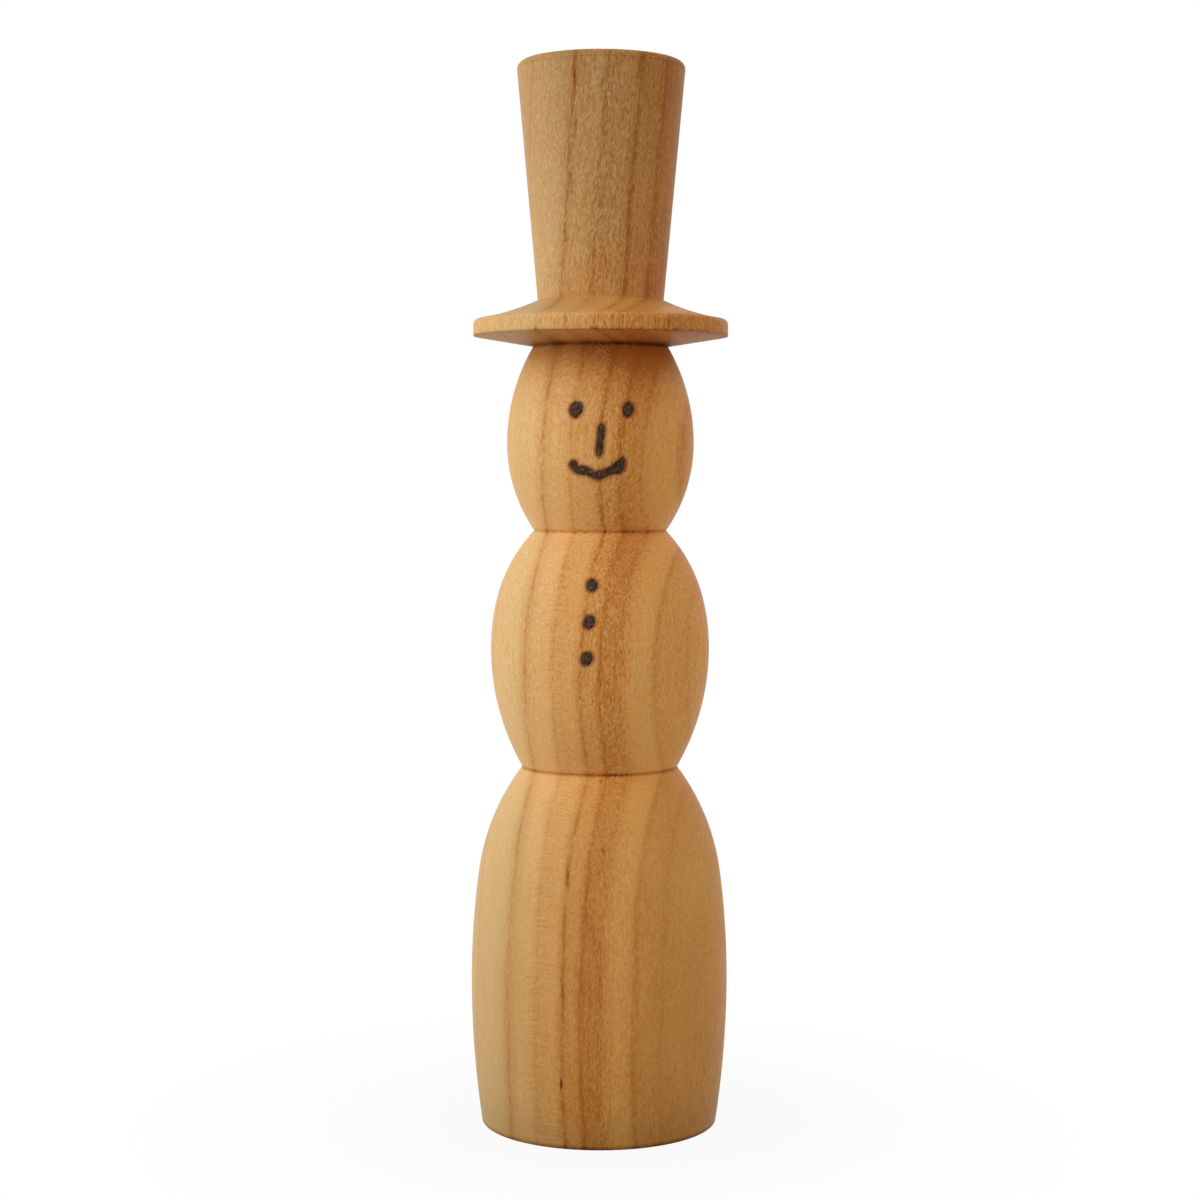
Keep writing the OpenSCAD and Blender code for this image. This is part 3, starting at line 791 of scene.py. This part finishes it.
char, char_tree = bare_material("char")
char_in_mm = millimetres(char_tree)
lump = stretched_noise(char_tree, char_in_mm, LUMP_WAVES, detail=4.0, roughness=0.65)
ash = stretched_noise(char_tree, char_in_mm, ASH_WAVES, detail=1.0)
ash_share = rescale(char_tree, ash, *ASH_NOISE, 0.0, ASH_MOST)
char_colour = mixed(char_tree, ash_share, ramp(char_tree, lump, 0.0, 1.0, CHAR_COLOURS), ASH_COLOUR)
coat(char_tree, char_colour, roughness=0.7, specular=0.15, relief=lump, strength=0.6, depth=0.12)

for mark, stroke in strokes.items():
    piece = char_piece(mark + "_char", stroke)
    piece.data.materials.append(char)
    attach(piece, "root")
    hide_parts(mark)


# The camera
# It stands level with the face, a short way in front, and looks slightly down.
CAMERA_X = -0.06
CAMERA_DISTANCE = 446.6
CAMERA_Z = 122.8
CAMERA_DOWN = 3.01
CAMERA_ROLL = -0.128
CAMERA_LENS = 70.86
CAMERA_SENSOR = 36.0
camera_data = bpy.data.cameras.new("camera")
camera_data.lens = CAMERA_LENS
camera_data.sensor_width = CAMERA_SENSOR
camera = bpy.data.objects.new("camera", camera_data)
camera.location = (CAMERA_X * MM, -CAMERA_DISTANCE * MM, CAMERA_Z * MM)
camera.rotation_euler = (math.radians(90 - CAMERA_DOWN), math.radians(CAMERA_ROLL), 0.0)
bpy.context.scene.collection.objects.link(camera)
bpy.context.scene.camera = camera


# The floor and the light
# A grey floor, which the camera sees as white with a trace of the figure's shadow near the foot, runs back
# to a white backdrop. The room gives an even light from all round, and three soft lamps shape the figure:
# two on the left and a weak cool one on the right.
FLOOR_HALF = 6000.0
FLOOR_DROP = 0.05
FLOOR_GREY = (0.43, 0.43, 0.43, 1.0)
WHITE = (1.0, 1.0, 1.0, 1.0)
SHADOW_R = 30.0
SHADOW_END_R = 100.0
SHADOW_WHITE = 0.94
floor_mesh = bpy.data.meshes.new("floor")
floor_corners = np.array([(-1, -1, 0), (1, -1, 0), (1, 1, 0), (-1, 1, 0)]) * FLOOR_HALF * MM
floor_mesh.from_pydata(floor_corners.tolist(), [], [(0, 1, 2, 3)])
floor = bpy.data.objects.new("floor", floor_mesh)
floor.location.z = -FLOOR_DROP * MM
bpy.context.scene.collection.objects.link(floor)

pale, floor_tree = bare_material("pale_floor")
floor_rays = wire(floor_tree, "ShaderNodeLightPath", {}).node.outputs
floor_seen = math_node(floor_tree, "MAXIMUM", floor_rays["Is Camera Ray"], floor_rays["Is Glossy Ray"])
floor_seen = math_node(floor_tree, "MAXIMUM", floor_seen, floor_rays["Is Transmission Ray"])
spot_r = vector_node(floor_tree, "LENGTH", millimetres(floor_tree), output="Value")
spot_white = rescale(floor_tree, spot_r, SHADOW_R, SHADOW_END_R, SHADOW_WHITE, 1.0)
white_share = product(floor_tree, floor_seen, spot_white)
matt = wire(floor_tree, "ShaderNodeBsdfDiffuse", {"Color": FLOOR_GREY})
white = wire(floor_tree, "ShaderNodeEmission", {"Color": WHITE, "Strength": 1.0})
floor_look = wire(floor_tree, "ShaderNodeMixShader", {0: white_share, 1: matt, 2: white})
wire(floor_tree, "ShaderNodeOutputMaterial", {"Surface": floor_look})
floor_mesh.materials.append(pale)

# The camera sees the backdrop as white, and so do reflections where they look to the back
ROOM_LIGHT = 0.62
BACKDROP_FROM = -0.1
BACKDROP_FULL = 0.4
world = bpy.data.worlds.new("studio")
bpy.context.scene.world = world
world.use_nodes = True
world_tree = world.node_tree
world_tree.nodes.clear()
room_rays = wire(world_tree, "ShaderNodeLightPath", {}).node.outputs
looking = wire(world_tree, "ShaderNodeTexCoord", {}, output="Generated")
to_back = wire(world_tree, "ShaderNodeSeparateXYZ", {0: looking}, output="Y")
behind = rescale(world_tree, to_back, BACKDROP_FROM, BACKDROP_FULL)
bounced = math_node(world_tree, "MAXIMUM", room_rays["Is Glossy Ray"], room_rays["Is Transmission Ray"])
bounced_back = product(world_tree, bounced, behind)
backdrop_seen = math_node(world_tree, "MAXIMUM", room_rays["Is Camera Ray"], bounced_back)
level = rescale(world_tree, backdrop_seen, 0.0, 1.0, ROOM_LIGHT, 1.0)
backdrop = wire(world_tree, "ShaderNodeBackground", {"Color": WHITE, "Strength": level})
wire(world_tree, "ShaderNodeOutputWorld", {"Surface": backdrop})

LAMP_AIM = 100.0


def soft_lamp(name, azimuth, distance, height, size, power, colour=(1.0, 1.0, 1.0)):
    """Square lamp at that azimuth from the front, in degrees, and that distance from the axis, tilted to aim
    at the height LAMP_AIM on it. Lengths are in millimetres and the power is in watts."""
    turn = math.radians(azimuth)
    lamp_data = bpy.data.lights.new(name, "AREA")
    lamp_data.shape = "SQUARE"
    lamp_data.size = size * MM
    lamp_data.energy = power
    lamp_data.color = colour
    lamp = bpy.data.objects.new(name, lamp_data)
    lamp.location = (distance * MM * math.sin(turn), -distance * MM * math.cos(turn), height * MM)
    tilt = math.atan2(LAMP_AIM - height, distance)
    lamp.rotation_euler = (math.pi / 2 + tilt, 0.0, turn)
    lamp.visible_camera = False
    bpy.context.scene.collection.objects.link(lamp)


soft_lamp("key_lamp", azimuth=-65, distance=450, height=300, size=250, power=0.72)
soft_lamp("side_lamp", azimuth=-95, distance=400, height=160, size=200, power=0.41)
soft_lamp("fill_lamp", azimuth=75, distance=250, height=100, size=150, power=0.03, colour=(0.5, 0.85, 1.0))

bpy.context.scene.view_settings.view_transform = "Standard"
